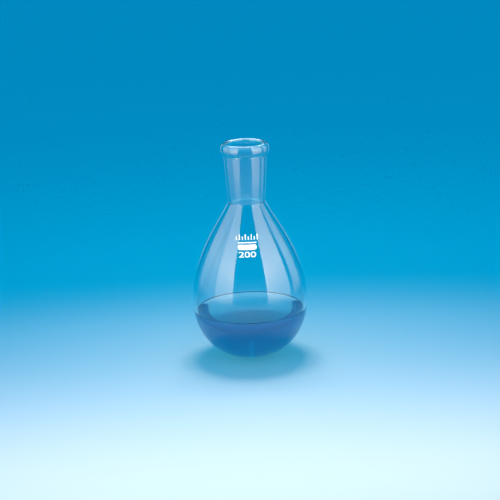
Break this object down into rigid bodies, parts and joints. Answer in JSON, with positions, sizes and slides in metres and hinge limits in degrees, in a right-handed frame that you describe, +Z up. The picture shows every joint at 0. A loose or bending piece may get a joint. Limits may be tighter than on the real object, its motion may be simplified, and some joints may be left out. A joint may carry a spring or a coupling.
{
  "type": "recovery flask",
  "caption": "Pear-shaped round-bottomed glass recovery flask with a tapered ground socket neck, a reinforced rim and some blue liquid in it.",
  "frame": {"origin": "centre of the mouth, in the plane of the rim's crest", "axes": "+Z up and out of the mouth, along the common axis of socket, neck and bulb"},
  "size_m": [0.076, 0.076, 0.144],
  "materials": {
    "flask": "clear polished borosilicate glass",
    "blue_liquid": "clear deep blue liquid"
  },
  "bodies": {
    "root": {"flask": "flask", "blue_liquid": "blue_liquid"}
  },
  "joints": []
}
